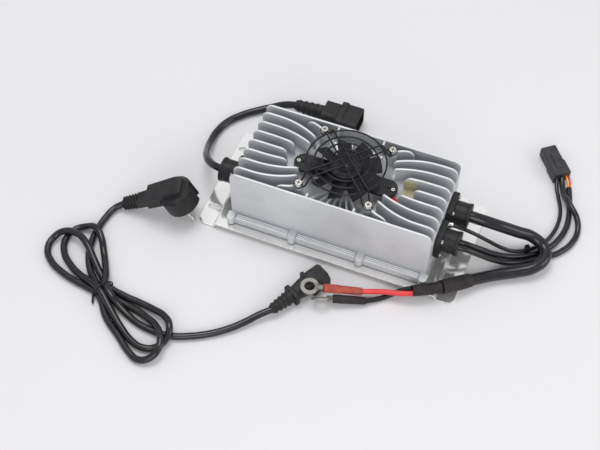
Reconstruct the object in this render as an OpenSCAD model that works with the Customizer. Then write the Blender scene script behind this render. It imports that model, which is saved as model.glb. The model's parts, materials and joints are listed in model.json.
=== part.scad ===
// Fan-cooled on-board battery charger: finned cast housing on a bent mounting plate,
// with its glands, cables, detachable mains lead and the power stage inside.
// Units are millimetres. X runs along the housing, Y to the back, Z up from the floor.

/* [Housing casting] */
// Length of the casting along X
housing_l = 207; // [190:1:230]
// Width over the two long walls
housing_w = 97; // [92:1:112]
// Height from the sealing face to the fin tops
housing_h = 72; // [64:1:84]
// Thickness of the walls below the deck
wall_t = 3; // [2.5:0.5:5]
// Thickness of the deck under the fins
deck_t = 5; // [4:0.5:7]
// Depth of the sealing ledge outside the long walls
ledge_d = 6.5; // [5.5:0.5:9]
// Height of the sealing ledge
ledge_h = 8; // [6:0.5:12]
// Diameter of the ledge screw bosses
boss_d = 8; // [7:0.5:10]
// Height of the ledge screw bosses
boss_h = 10; // [8:0.5:14]
// Distance from the middle to the inner bosses
boss_mid_x = 36; // [28:1:44]
// Distance from the casting's end to the outer bosses
boss_end_inset = 1.5; // [0:0.5:6]

/* [Cooling fins] */
// Height of the fins above the deck
fin_h = 18; // [14:1:22]
// Thickness of a fin
fin_t = 2.2; // [1.8:0.1:3]
// Distance between fins
fin_pitch = 12.4; // [11.5:0.1:13]
// Radius of the outer top corner of each fin
fin_round = 8; // [4:0.5:12]
// Radius of the inner top corner of the middle fins
fin_inner_round = 6; // [3:0.5:8]
// Length of the straight stretch before a fin bends to the fan
fin_straight = 18; // [12:1:24]

/* [Fan well] */
// Depth of the well under the fan
well_depth = 12; // [9:0.5:13]
// Width of the well's sloping side
well_slope = 16; // [12:1:20]
// Skin thickness under the well
well_skin = 4; // [3:0.5:6]
// Height of the low ribs in the well
rib_h = 2.2; // [1.5:0.1:3]

/* [Fan] */
// Distance between the fan's two bracket screws
ear_pitch = 98.6; // [94:0.2:106]
// Width of the bracket bar
bracket_w = 21; // [18:1:26]
// Thickness of the bracket bar
bracket_t = 3.5; // [2.5:0.5:5]
// Height of the bracket's posts above the deck
ear_post_h = 4; // [3.5:0.5:6]
// Diameter over the blade tips
fan_d = 72; // [66:1:78]
// Diameter of the rotor cup
cup_d = 32; // [30:1:38]
// Height of the rotor above the bracket
rotor_h = 13.5; // [12:0.5:16]
// Diameter of the rotor shaft
shaft_d = 3; // [2:0.5:4]
// Running clearance of the shaft in its bearing, on the radius
shaft_clearance = 0.03; // [0.01:0.01:0.08]

/* [Finger guard] */
// Side of the guard's screw square
guard_pitch = 71.5; // [70:0.5:74]
// Wire diameter of the guard
guard_wire = 1.8; // [1.4:0.1:2.4]
// Height of the guard's rings above its screw loops
guard_rise = 10; // [7:0.5:13]
// Distance between the guard's rings
guard_ring_step = 8; // [7:0.5:9]
// Distance between the two wires of a spoke pair
spoke_gap = 8; // [7:0.5:9]

/* [Base plate] */
// Length of the base plate
plate_l = 274; // [260:1:300]
// Width of the base plate
plate_w = 126; // [122:1:140]
// Thickness of the base plate
plate_t = 2; // [1.5:0.5:3]
// Height of the raised middle above the floor
plate_lift = 5; // [4:0.5:8]
// Length of each flat foot
foot_l = 18; // [16:1:24]
// Corner radius of the plate
plate_corner = 8; // [4:1:12]
// Distance of the mounting slots from the plate's ends
slot_inset = 10; // [9:0.5:11]
// Spacing of the mounting slots along Y
slot_pitch_y = 80; // [60:1:100]
// Width of a mounting slot
slot_w = 6.5; // [5:0.5:8]
// Length of a mounting slot
slot_l = 14; // [10:0.5:16]
// Thickness of the gasket under the casting
gasket_t = 1; // [0.5:0.5:2]

/* [Cable glands] */
// Side of the square gland flange
gland_side = 30; // [28:1:34]
// Thickness of the gland flange
gland_t = 5.5; // [4:0.5:8]
// Diameter of the gland collar
gland_collar_d = 24; // [22:0.5:26]
// Length of the gland collar
gland_collar_l = 16; // [12:1:22]
// Distance of the glands from the middle along Y
gland_y = 18; // [17.5:0.5:20]
// Height of the glands above the sealing face
gland_h = 32; // [28:1:34]
// Spacing of the gland screws
gland_screw_pitch = 22; // [20:0.5:23]

/* [Cables] */
// Diameter of the mains flex
mains_d = 8; // [7:0.5:9]
// Diameter of the output cable
output_d = 12; // [10:0.5:13]
// Diameter of the output leads
output_lead_d = 5.5; // [4.5:0.5:6]
// Diameter of each signal cable
signal_d = 6; // [5:0.5:6]
// Diameter of the sensor cable
sensor_d = 4; // [3.5:0.5:4.5]
// Diameter of the detachable mains lead
lead_d = 7; // [6:0.5:8]

/* [Power stage] */
// Thickness of the main board
board_t = 1.6; // [1.2:0.2:2.4]
// Height of the main board above the base plate
board_lift = 6; // [5:0.5:9]
// Gap between the main board and the casting's walls
board_gap = 4; // [3:0.5:8]

/* [Hidden] */
$fn = 48;
eps = 0.01;
fit = 0.1;

cast_grey = [0.72, 0.73, 0.74];
bright_sheet = [0.86, 0.86, 0.85];
black_plastic = [0.10, 0.10, 0.11];
black_rubber = [0.14, 0.13, 0.13];
steel = [0.78, 0.76, 0.72];
brass = [0.76, 0.66, 0.38];
copper = [0.72, 0.42, 0.22];
board_green = [0.10, 0.35, 0.20];
seal_tan = [0.62, 0.58, 0.44];
lead_red = [0.85, 0.20, 0.22];
sleeve_red = [0.70, 0.30, 0.24];
wire_yellow = [0.85, 0.70, 0.15];
ferrite = [0.22, 0.22, 0.23];

plate_top = plate_lift + plate_t;
seal_z = plate_top + gasket_t;
top_z = seal_z + housing_h;
deck_z = top_z - fin_h;
end_x = housing_l / 2;
wall_y = housing_w / 2;
fin_wall_y = wall_y - fin_t;
ceiling_z = deck_z - deck_t;
cavity_x = end_x - wall_t;
cavity_y = wall_y - wall_t;
boss_y = wall_y + ledge_d - 0.5;
slot_pitch_x = plate_l - 2 * slot_inset;
boss_xs = [-end_x + boss_end_inset, -boss_mid_x, boss_mid_x, end_x - boss_end_inset];

// Fins, from the middle outward: inner end, bend radius and inner corner radius
fin_inner_xs = [58, 43.5, 41];
fin_bends = [200, 105, 87];
fin_inner_rounds = [fin_inner_round, 3, 3];
middle_fin_x = 62;
stub_fin_x = 24;
stub_fin_l = 5;

// Fan well
well_floor_z = deck_z - well_depth;
well_top_r = fin_wall_y - 0.3;
well_floor_r = well_top_r - well_slope;
well_under_z = well_floor_z - well_skin;
well_ribs = 7;
well_rib_step = 11;
rib_t = 1.6;

// Base screws, M4
base_screw_r = 1.9;
base_head_r = 3.6;
base_head_h = 2.2;

// Guard screws, M4, and their posts
post_r = 5;
post_top = top_z - 1;
guard_screw_r = 1.9;
guard_head_r = 4.4;
guard_head_h = 3;
guard_screw_l = 12;
guard_half = guard_pitch / 2;
guard_ring_z = post_top + guard_wire / 2 + guard_rise;
guard_outer_r = guard_half * 1.1;
guard_rings = 5;

// Fan stack, from the bracket up
bracket_z = deck_z + ear_post_h;
bracket_top = bracket_z + bracket_t;
ear_post_r = 5;
ear_screw_r = 1.4;
ear_screw_l = 8;
ear_head_r = 2.6;
ear_head_h = 1.6;
ear_pin_hole_r = 1;
hub_plate_r = cup_d / 2 + 1;
rotor_gap = 1;
cup_bottom = bracket_top + rotor_gap;
cup_top = cup_bottom + rotor_h;
cup_wall = 1.5;
magnet_t = 1.9;
air_gap = 0.8;
stator_r = cup_d / 2 - cup_wall - magnet_t - air_gap;
bearing_r = shaft_d / 2 + 2.5;
bearing_z = bracket_z + 1;
bearing_top = cup_top - 4;
bearing_tube_r = bearing_r + 1.5;
blades = 9;
blade_phase = 32;
blade_pitch = 30;
blade_chord = 16;
blade_t = 1.4;
blade_bottom = cup_bottom + 0.3;
blade_top = cup_top - 1;

// Sealed wire outlet in the deck
seal_x0 = ear_pitch / 2 + 8;
seal_l = 13;
seal_x1 = seal_x0 + seal_l;
seal_pad_h = 2.2;
seal_smear_h = fin_h - 3;
seal_smear_t = 1;
wire_hole_r = 3;
wire_hole_y = -6;
fan_wire_r = 0.8;
fan_wire_y = -8;
fan_wire_x = fan_d / 2 + 2.5;

// Glands
gland_z = seal_z + gland_h;
gland_gasket_t = 1;
gland_face = end_x + gland_gasket_t;
gland_corner = 4;
gland_lip_l = 3;
gland_lip = 0.8;
gland_screw_r = 1.4;
gland_screw_l = gland_t + gland_gasket_t + wall_t;
gland_head_r = 2.3;
gland_head_h = 1.6;
cable_hole = 1.5;
signal_gap = signal_d + 0.4;

// Sensor nipple between the output glands
stub_r = 2.9;
stub_neck_r = 2.6;
stub_l = 10;
stub_z = gland_z + 2;

// Inlet connector on the end of the mains pigtail, lying on the floor behind the housing
inlet_y = 111;
inlet_x = -97;
inlet_relief_l = 33;
inlet_body = [17, 26, 22];
inlet_collar = [7, 32, 24];
inlet_shroud = [17, 29.5, 21.5];
inlet_cavity = [25.2, 17.4];
inlet_z = inlet_collar.z / 2;
pin_size = [14, 2, 4];
pin_gap = 7;
earth_pin_lift = 4;

// Output leads: sleeves and ring terminals
sleeve_r = output_d / 2 + 1.5;
end_sleeve_r = output_d / 2;
lead_sleeve_r = output_lead_d / 2 + 1.75;
lug_ring_r = 9;
lug_hole_r = 5.25;
lug_t = 2;
lug_barrel_r = 3;
lug_tongue_w = 8;
negative_lug_roll = -55;

// Signal connector, lying on the floor
signal_conn = [38, 19, 14];
signal_conn_at = [186, 140];
signal_conn_turn = 128;
signal_wire_r = 0.9;
signal_wire_end = [202, 128, 6.5];
signal_wire_step = [1.4, 1, 1];

// Detachable mains lead
plug_r = 18.5;
plug_t = 20;
plug_back_t = 3;
plug_at = [-152.5, -58, 19.5];
plug_turn = 14.4;
plug_lean = 66;
plug_roll = -15;
plug_pin_r = 2.4;
plug_pin_l = 19;
plug_pin_pitch = 19;
plug_pin_seat = 10;
plug_slot = [5, 6];
// Side view of the plug's body: along its pins, then along its cord
plug_side = [[-9.5, -63], [-18.5, -63], [-19.3, -44], [-20, -34], [-24, -32], [-29.5, 2], [-29.5, 6],
    [-26, 11], [-12, 11], [-12, -16], [-11.5, -34], [-10, -44]];
// Half widths of the body along its cord
plug_halves = [[-63, 5.4], [-44, 7], [-34, 8], [-32, 11], [6, 11], [11, 8]];
boot_x = -14;
boot_tip_z = -61;
boot_ribs = 5;
boot_pitch = 3.6;
boot_gap = 1.7;
boot_core = [7.6, 8.6];
boot_slot_w = 7;
outlet_flange = [4, 20, 15];
outlet_taper = [17, 23, 14.5];
outlet_taper_r1 = 6.8;
outlet_taper_r2 = 10.5;
outlet_shoulder = [3, 23.5, 18];
outlet_nose = [18, 22, 16];
outlet_chamfer = 5;
outlet_slot = [12, 2.5, 4.5];
outlet_slot_gap = 6.5;
outlet_earth_lift = 3;
outlet_at = [-12.3, -115.5];
outlet_turn = 61;
outlet_relief_l = 24;
hank_t = 2 * lead_d;
hank_tie_at = [-188, -174];
hank_turn = -32;
hank_waist_r = 12;
hank_plug_lobe = [-241, -139];
hank_plug_lobe_r = 26;
hank_outlet_lobe = [-130, -203];
hank_outlet_lobe_r = 27;
tie_w = 4;
tie_t = 1.2;

// Power stage
board_z = plate_top + board_lift;
board_top = board_z + board_t;
board_x = cavity_x - board_gap;
board_y = cavity_y - board_gap;
column_r = 4;
column_inset = 5;
column_x = board_x - column_inset;
column_y = board_y - column_inset;
board_screw_r = 1.4;
board_head_r = 2.6;
board_head_h = 1.8;
board_screw_l = 10;
pad_t = 0.5;
transistor = [16, 5, 21];
transistor_lift = 4;
transistor_xs = [-48, -20, 20, 48];
core = [42, 34, 28];
core_x = -18;
core_leg = 6;
winding = [8, 26, 16];
winding_x = 13;
bulk_cap_d = 25;
bulk_cap_h = 30;
bulk_cap_inset = 34.5;
bulk_cap_at = [bulk_cap_inset - board_x, 17];
choke_d = 18;
choke_hole = 6;
choke_h = 12;
choke_inset = 17.5;
choke_x = choke_inset - board_x;
inductor_d = 38;
inductor_hole = 14;
inductor_h = 16;
inductor_inset = 62.5;
inductor_at = [board_x - inductor_inset, -2];
wound_round = 2.5;
output_cap_d = 13;
output_cap_h = 25;
output_cap_pitch = 17;
output_cap_inset = 18.5;
output_cap_x = board_x - output_cap_inset;
control_size = [46, board_t, 24];
control_at = [10, 28];
relay_size = [19, 15, 15];
relay_inset = 44.5;
relay_at = [board_x - relay_inset, -26];
fuse_l = 20;
fuse_r = 3;
fuse_tube_r = 2.5;
fuse_cap_l = 5;
fuse_inset = 16.5;
fuse_at = [fuse_inset - board_x, -34];

// Cord routes: each point is the middle of the cord, with the cord resting on the floor
pigtail_route = [[-114, -18, 40], [-129, -18, 40], [-143, -12, 35], [-155, 1, 26], [-163, 17, 15],
    [-168, 35, 6.5], [-168, 52, 4], [-162, 70, 4], [-151, 84, 4], [-137, 96, 4], [-123, 105, 5],
    [-110, 109.5, 8.5], [-95, 111, 12]];
output_route = [[114, 18, 40], [131, 18, 40], [154, 22, 34], [173, 28, 25], [190, 33, 17], [202, 28.5, 13],
    [207, 17, 12.5], [200, 3, 11], [186, -6.5, 9], [166, -18, 8], [146, -33, 9.5]];
positive_route = [[98.5, -71.6, 14], [87, -74.5, 11.5], [75, -76.5, 9.8], [63, -79.5, 8], [50, -84.5, 8]];
negative_route = [[95.5, -66.4, 14], [87, -69, 9], [78, -74, 4], [69, -82, 2.8], [57, -91, 4.5]];
signal_a_route = [[114, -14.8, 40], [130, -14.5, 39], [146, -9, 30], [160, -1, 18], [174, 8, 8.5],
    [187, 17.5, 3.5], [198, 26, 3], [207, 36, 3], [214, 50, 3], [217.5, 66, 3], [216.5, 84, 3],
    [212, 103, 3], [208, 116, 4]];
signal_b_route = [[114, -21.2, 40], [130, -21, 39], [146, -16, 29], [161, -8.5, 16], [175, 0.5, 6.5],
    [188, 10, 3], [200, 18.5, 3], [211, 27, 3], [221, 38, 3], [228, 52, 3], [229.5, 67, 4],
    [225, 79, 7.5], [217, 88, 10], [210, 96.5, 9.2], [204.5, 107, 5.5], [201, 116, 5], [197.6, 125, 6.5]];
sensor_route = [[112, 0, 42], [121, 0.5, 41], [136, 3.5, 34], [150, 8, 23], [163, 13, 12], [175, 18, 5],
    [186, 25, 2.5], [195, 33, 2.5], [202, 43, 2.5], [207, 57, 2.5], [208.5, 72, 2.5], [206.5, 87, 2.5],
    [201, 101, 2.5], [196, 112, 3.5], [193.2, 121.6, 6.5]];
plug_side_route = [[-213.7, -73.7, 6.7], [-221.5, -81.5, 4.2], [-225.5, -97, 3.5], [-226, -115, 3.5]];
outlet_side_route = [[-104, -196, 3.5], [-87, -189.5, 3.5], [-71, -180.5, 3.5], [-56.5, -169.5, 4],
    [-44, -157.5, 5.5], [-33, -145, 7.5], [-23, -135.5, 9]];

// Ends of the sleeves on the output cable and its leads
sleeve_start = output_route[len(output_route) - 1];
sleeve_joint = [122, -55, 14.5];
sleeve_end = [97, -69, 14];
positive_sleeve_start = positive_route[len(positive_route) - 1];
positive_sleeve_end = [16, -100.8, 19.2];
positive_ring = [3, -104, 19.2];
negative_sleeve_start = negative_route[len(negative_route) - 1];
negative_sleeve_end = [27, -103.2, 9.5];
negative_ring = [16, -107.6, 9.5];

// Shared shapes

// Tapered rod between two points
module rod(a, b, r1, r2) {
    d = b - a;
    l = norm(d);
    translate(a)
        rotate([0, acos(d.z / l), atan2(d.y, d.x)])
            cylinder(h = l, r1 = r1, r2 = r2);
}

// Rectangle with round corners, from squares and circles
module round_rect(l, w, r) {
    square([l - 2 * r, w], center = true);
    square([l, w - 2 * r], center = true);
    for (x = [-1, 1], y = [-1, 1])
        translate([x * (l / 2 - r), y * (w / 2 - r)])
            circle(r = r);
}

// Copies at both ends of X and Y
module four(x, y) {
    for (sx = [-1, 1], sy = [-1, 1])
        translate([sx * x, sy * y, 0])
            children();
}

// Pan-head screw pointing down from z = 0, with a cross recess in its head
module pan_screw(r, l, head_r, head_h) {
    translate([0, 0, -l])
        cylinder(h = l + eps, r = r);
    difference() {
        cylinder(h = head_h, r1 = head_r, r2 = head_r * 0.75);
        for (turn = [0, 90])
            rotate(turn)
                translate([-head_r * 0.5, -head_r * 0.1, head_h * 0.55])
                    cube([head_r, head_r * 0.2, head_h]);
    }
}

// Direction of a route at one of its points
function unit(v) = v / norm(v);
function heading(route, i) =
    unit(route[min(i + 1, len(route) - 1)] - route[max(i - 1, 0)]);

// Ring of points round the route
function ring(at, dir, r, sides) =
    let (side = unit(cross(dir, [0, 0, 1])), up = cross(side, dir))
    [for (k = [0 : sides - 1]) at + r * (cos(360 * k / sides) * side + sin(360 * k / sides) * up)];

// Tube swept along a route
module tube(route, d, sides = 10) {
    n = len(route);
    points = [for (i = [0 : n - 1]) each ring(route[i], heading(route, i), d / 2, sides)];
    walls = [for (i = [0 : n - 2], k = [0 : sides - 1])
        let (a = i * sides + k, b = i * sides + (k + 1) % sides)
        each [[a, b, a + sides], [b, b + sides, a + sides]]];
    first = [for (k = [sides - 1 : -1 : 0]) k];
    last = [for (k = [0 : sides - 1]) (n - 1) * sides + k];
    polyhedron(points = points, faces = concat(walls, [first], [last]));
}

// Housing casting

// Side view of the space that fins may fill, with round outer and inner top corners
module fin_side(x0, x1, inner_r) {
    rotate([90, 0, 0])
        linear_extrude(height = 2 * housing_w, center = true)
            union() {
                translate([x0, deck_z - 1])
                    square([x1 - x0, fin_h + 1 - fin_round]);
                translate([x0 + inner_r, deck_z])
                    square([x1 - x0 - inner_r - fin_round, fin_h]);
                translate([x0, deck_z])
                    square([inner_r * 2, fin_h - inner_r]);
                translate([x0 + inner_r, top_z - inner_r])
                    circle(r = inner_r);
                translate([x1 - fin_round, top_z - fin_round])
                    circle(r = fin_round);
            }
}

// Plan of one fin: straight from the end, then an arc that leans toward the fan
module fin_plan(y, bend_r, x_in) {
    bend_x = end_x - fin_straight;
    translate([bend_x, y - fin_t / 2])
        square([fin_straight + 1, fin_t]);
    intersection() {
        translate([bend_x, y - bend_r])
            difference() {
                circle(r = bend_r + fin_t / 2, $fn = 96);
                circle(r = bend_r - fin_t / 2, $fn = 96);
            }
        translate([x_in - 3, y - fin_pitch * 1.5])
            square([bend_x - x_in + 3, fin_pitch * 2]);
    }
}

// Fins of one quarter of the casting
module fin_quarter() {
    for (i = [0 : len(fin_bends) - 1])
        intersection() {
            translate([0, 0, deck_z - 1])
                linear_extrude(height = fin_h + 1)
                    fin_plan((i + 1) * fin_pitch, fin_bends[i], fin_inner_xs[i]);
            fin_side(fin_inner_xs[i], end_x, fin_inner_rounds[i]);
        }
    short_fin();
    translate([stub_fin_x - fin_t / 2, fin_wall_y - stub_fin_l, deck_z - 1])
        cube([fin_t, stub_fin_l + eps, fin_h]);
}

// Short curved fin between a guard post and the long wall
module short_fin() {
    arc_r = 34;
    y = fin_wall_y - 3.5;
    x0 = guard_half + post_r - 1;
    x1 = 57;
    intersection() {
        translate([0, 0, deck_z - 1])
            linear_extrude(height = fin_h + 1)
                intersection() {
                    translate([x1, y - arc_r])
                        difference() {
                            circle(r = arc_r + fin_t / 2, $fn = 96);
                            circle(r = arc_r - fin_t / 2, $fn = 96);
                        }
                    translate([x0 - 1, y - 8])
                        square([x1 - x0 + 2, 12]);
                }
        fin_side(x0, x1, 1);
    }
}

// Middle fin of one end; the one at the wire outlet is cut back
module middle_fin(x_in) {
    intersection() {
        translate([x_in - 1, -fin_t / 2, deck_z - 1])
            cube([end_x - x_in + 2, fin_t, fin_h + 1]);
        fin_side(x_in, end_x, fin_inner_round);
    }
}

// Long wall above the deck
module long_wall() {
    intersection() {
        translate([-end_x - 1, fin_wall_y, deck_z - 1])
            cube([housing_l + 2, fin_t, fin_h + 1]);
        union() {
            fin_side(-1, end_x, 1);
            mirror([1, 0, 0])
                fin_side(-1, end_x, 1);
        }
    }
}

// Low radial ribs on the well's sloping side
module well_rib() {
    rotate([90, 0, 0])
        linear_extrude(height = rib_t, center = true)
            polygon([[well_floor_r - 4, well_floor_z - 1], [well_floor_r - 4, well_floor_z + rib_h * 0.6],
                [well_floor_r + 1, well_floor_z + rib_h], [well_top_r, deck_z + rib_h],
                [well_top_r + 1, deck_z - 1], [well_floor_r, well_floor_z - 1]]);
}

module finned_housing() {
    color(cast_grey)
        difference() {
            union() {
                translate([-end_x, -wall_y, seal_z])
                    cube([housing_l, housing_w, deck_z - seal_z]);
                translate([-end_x, -wall_y - ledge_d, seal_z])
                    cube([housing_l, housing_w + 2 * ledge_d, ledge_h]);
                for (x = boss_xs, s = [-1, 1]) {
                    translate([x, s * boss_y, seal_z])
                        cylinder(h = boss_h, d = boss_d);
                    translate([x - boss_d / 2, min(s * wall_y, s * boss_y), seal_z])
                        cube([boss_d, boss_y - wall_y, boss_h]);
                }
                housing_fins();
                four(guard_half, guard_half)
                    translate([0, 0, deck_z - 1])
                        cylinder(h = post_top - deck_z + 1, r = post_r);
                for (s = [-1, 1])
                    translate([s * ear_pitch / 2, 0, deck_z - 1])
                        cylinder(h = ear_post_h + 1, r = ear_post_r);
            }
            housing_cavity();
            fan_well();
            housing_bores();
        }
}

module housing_fins() {
    for (mx = [0, 1], my = [0, 1])
        mirror([mx, 0, 0])
            mirror([0, my, 0])
                fin_quarter();
    for (my = [0, 1])
        mirror([0, my, 0])
            long_wall();
    middle_fin(seal_x1);
    mirror([1, 0, 0])
        middle_fin(middle_fin_x);
}

// Space for the power stage, open at the bottom, with the columns that carry the board
module housing_cavity() {
    difference() {
        translate([-cavity_x, -cavity_y, seal_z - 1])
            cube([2 * cavity_x, 2 * cavity_y, ceiling_z - seal_z + 1]);
        translate([0, 0, well_under_z])
            cylinder(h = well_depth + well_skin, r1 = well_floor_r + well_skin, r2 = well_top_r + well_skin);
        four(column_x, column_y)
            translate([0, 0, board_top])
                cylinder(h = ceiling_z - board_top + 1, r = column_r);
    }
}

// Dished well with low ribs left standing toward the long walls
module fan_well() {
    difference() {
        translate([0, 0, well_floor_z])
            cylinder(h = well_depth + eps, r1 = well_floor_r, r2 = well_top_r);
        for (s = [-1, 1], i = [0 : well_ribs - 1])
            rotate(90 * s + (i - (well_ribs - 1) / 2) * well_rib_step)
                well_rib();
    }
}

module housing_bores() {
    for (x = boss_xs, s = [-1, 1])
        translate([x, s * boss_y, seal_z - 1])
            cylinder(h = boss_h - 1, r = base_screw_r + fit);
    four(guard_half, guard_half)
        translate([0, 0, post_top - guard_screw_l])
            cylinder(h = guard_screw_l + 1, r = guard_screw_r + fit);
    for (s = [-1, 1])
        translate([s * ear_pitch / 2, 0, bracket_z - ear_screw_l])
            cylinder(h = ear_screw_l + 1, r = ear_screw_r + fit);
    four(column_x, column_y)
        translate([0, 0, board_top - 1])
            cylinder(h = board_screw_l, r = board_screw_r + fit);
    translate([(seal_x0 + seal_x1) / 2, wire_hole_y, ceiling_z - 1])
        cylinder(h = deck_t + 2, r = wire_hole_r);
    gland_places()
        translate([0, 0, -wall_t - gland_gasket_t - 1])
            cylinder(h = wall_t + 3, d = output_d + 2 * cable_hole);
    gland_places()
        gland_screw_places()
            translate([0, 0, -wall_t - gland_gasket_t - 1])
                cylinder(h = wall_t + 3, r = gland_screw_r + fit);
    translate([cavity_x - 1, 0, stub_z])
        rotate([0, 90, 0])
            cylinder(h = wall_t + 2, r = stub_neck_r + fit);
}

// Gland frames: z along the cable, with z = 0 on the gland's flange face against the gasket
module gland_frame(end, y) {
    translate([end * gland_face, y, gland_z])
        rotate([0, end * 90, 0])
            children();
}

module gland_places() {
    gland_frame(-1, -gland_y)
        children();
    for (s = [-1, 1])
        gland_frame(1, s * gland_y)
            children();
}

module gland_screw_places() {
    four(gland_screw_pitch / 2, gland_screw_pitch / 2)
        children();
}

// Mounting plate and seal

module base_plate() {
    rise = plate_l / 2 - foot_l;
    slope = 3;
    color(bright_sheet)
        difference() {
            intersection() {
                rotate([90, 0, 0])
                    linear_extrude(height = plate_w, center = true)
                        polygon([[-plate_l / 2, 0], [-rise, 0], [slope - rise, plate_lift],
                            [rise - slope, plate_lift], [rise, 0], [plate_l / 2, 0], [plate_l / 2, plate_t],
                            [rise + plate_t / 4, plate_t], [rise - slope + plate_t / 4, plate_top],
                            [slope - rise - plate_t / 4, plate_top], [-rise - plate_t / 4, plate_t],
                            [-plate_l / 2, plate_t]]);
                linear_extrude(height = plate_top + 1)
                    round_rect(plate_l, plate_w, plate_corner);
            }
            four(slot_pitch_x / 2, slot_pitch_y / 2)
                mounting_slot();
            for (x = boss_xs, s = [-1, 1])
                translate([x, s * boss_y, plate_lift - 1])
                    cylinder(h = plate_t + 2, r = base_screw_r + fit);
        }
}

module mounting_slot() {
    straight = slot_l - slot_w;
    translate([-straight / 2, -slot_w / 2, -1])
        cube([straight, slot_w, plate_t + 2]);
    for (s = [-1, 1])
        translate([s * straight / 2, 0, -1])
            cylinder(h = plate_t + 2, d = slot_w);
}

module base_gasket() {
    color(black_rubber)
        translate([0, 0, plate_top])
            linear_extrude(height = gasket_t)
                difference() {
                    square([housing_l - 2, housing_w + ledge_d], center = true);
                    square([2 * cavity_x, 2 * cavity_y], center = true);
                }
}

module base_screws() {
    color(steel)
        for (x = boss_xs, s = [-1, 1])
            translate([x, s * boss_y, plate_lift])
                mirror([0, 0, 1])
                    pan_screw(base_screw_r, plate_t + gasket_t + boss_h - 3, base_head_r, base_head_h);
}

// Fan

module fan_bracket() {
    color(black_plastic)
        difference() {
            union() {
                translate([0, 0, bracket_z])
                    linear_extrude(height = bracket_t)
                        round_rect(ear_pitch + 9, bracket_w, bracket_w / 2 - eps);
                translate([0, 0, bracket_z])
                    cylinder(h = bracket_t, r = hub_plate_r);
                translate([0, 0, bracket_z])
                    cylinder(h = bearing_top - bracket_z, r = bearing_tube_r);
            }
            translate([0, 0, bearing_z])
                cylinder(h = bearing_top - bearing_z + 1, r = bearing_r);
            for (s = [-1, 1]) {
                translate([s * ear_pitch / 2, 0, bracket_z - 1])
                    cylinder(h = bracket_t + 2, r = ear_screw_r + fit);
                translate([s * ear_pitch / 2, 0, bracket_top - ear_head_h])
                    cylinder(h = ear_head_h + 1, r = ear_head_r + fit);
                translate([s * (ear_pitch / 2 - 5), 0, bracket_z - 1])
                    cylinder(h = bracket_t + 2, r = ear_pin_hole_r);
            }
        }
}

module fan_bracket_screws() {
    color(steel)
        for (s = [-1, 1])
            translate([s * ear_pitch / 2, 0, bracket_top - ear_head_h])
                pan_screw(ear_screw_r, ear_screw_l, ear_head_r, ear_head_h);
}

module fan_bearing() {
    color(brass)
        translate([0, 0, bearing_z])
            difference() {
                cylinder(h = bearing_top - bearing_z, r = bearing_r);
                translate([0, 0, -1])
                    cylinder(h = bearing_top - bearing_z + 2, r = shaft_d / 2 + shaft_clearance);
            }
}

// Four wound poles on the bearing tube
module fan_stator() {
    core_r = bearing_tube_r;
    h = bearing_top - bracket_top - 2;
    color(copper)
        translate([0, 0, bracket_top + 1])
            difference() {
                union() {
                    cylinder(h = h, r = core_r + 1.5);
                    for (turn = [0 : 90 : 270])
                        rotate(turn) {
                            translate([core_r, -2.5, 1])
                                cube([stator_r - core_r - 1, 5, h - 2]);
                            intersection() {
                                translate([stator_r - 2, -6, 0])
                                    cube([3, 12, h]);
                                cylinder(h = h, r = stator_r);
                            }
                        }
                }
                translate([0, 0, -1])
                    cylinder(h = h + 2, r = core_r);
            }
}

module fan_impeller() {
    cup_r = cup_d / 2;
    color(black_plastic) {
        difference() {
            translate([0, 0, cup_bottom])
                cylinder(h = rotor_h, r = cup_r);
            translate([0, 0, cup_bottom - 1])
                cylinder(h = rotor_h - cup_wall + 1, r = cup_r - cup_wall);
            translate([0, 0, cup_bottom])
                cylinder(h = rotor_h + 1, r = shaft_d / 2);
        }
        for (i = [0 : blades - 1])
            rotate(i * 360 / blades + blade_phase)
                fan_blade(cup_r);
    }
}

// Flat blade, pitched about its length and cut to the rotor's outline
module fan_blade(cup_r) {
    root = cup_r - 2.5;
    h = blade_top - blade_bottom;
    intersection() {
        translate([root, 0, (blade_top + blade_bottom) / 2])
            rotate([blade_pitch, 0, 0])
                translate([0, -blade_chord / 2, -blade_t / 2])
                    cube([fan_d / 2, blade_chord, blade_t]);
        translate([0, 0, blade_bottom])
            difference() {
                cylinder(h = h, d = fan_d);
                translate([0, 0, -1])
                    cylinder(h = h + 2, r = cup_r - cup_wall / 2);
            }
    }
}

module fan_magnet() {
    outer_r = cup_d / 2 - cup_wall;
    color(ferrite)
        translate([0, 0, cup_bottom + 1])
            difference() {
                cylinder(h = rotor_h - 4, r = outer_r);
                translate([0, 0, -1])
                    cylinder(h = rotor_h, r = outer_r - magnet_t);
            }
}

module fan_shaft() {
    color(steel)
        translate([0, 0, bearing_z + 0.5])
            cylinder(h = cup_top - bearing_z - 0.5, d = shaft_d);
}

// Finger guard

module fan_guard() {
    spoke_z = guard_ring_z + guard_wire * 0.75;
    loop_z = post_top + guard_wire / 2;
    post_reach = guard_half * sqrt(2);
    spoke_reach = guard_outer_r + 1;
    foot_reach = post_reach - guard_head_r - 1;
    color(black_plastic) {
        for (i = [0 : guard_rings - 1])
            guard_wire_ring(guard_outer_r - i * guard_ring_step);
        for (i = [0, 1], s = [-1, 1])
            rotate(45 + 90 * i)
                wire([-spoke_reach, s * spoke_gap / 2, spoke_z + i * guard_wire * 0.6],
                    [spoke_reach, s * spoke_gap / 2, spoke_z + i * guard_wire * 0.6]);
        for (i = [0 : 3])
            rotate(45 + 90 * i)
                guard_foot(spoke_reach, spoke_z + (i % 2) * guard_wire * 0.6,
                    foot_reach, post_reach, loop_z);
    }
}

// Straight piece of guard wire with round ends
module wire(a, b) {
    hull() {
        translate(a)
            sphere(d = guard_wire, $fn = 6);
        translate(b)
            sphere(d = guard_wire, $fn = 6);
    }
}

module guard_wire_ring(r) {
    translate([0, 0, guard_ring_z])
        rotate_extrude($fn = 40)
            translate([r, 0])
                circle(d = guard_wire, $fn = 6);
}

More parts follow.
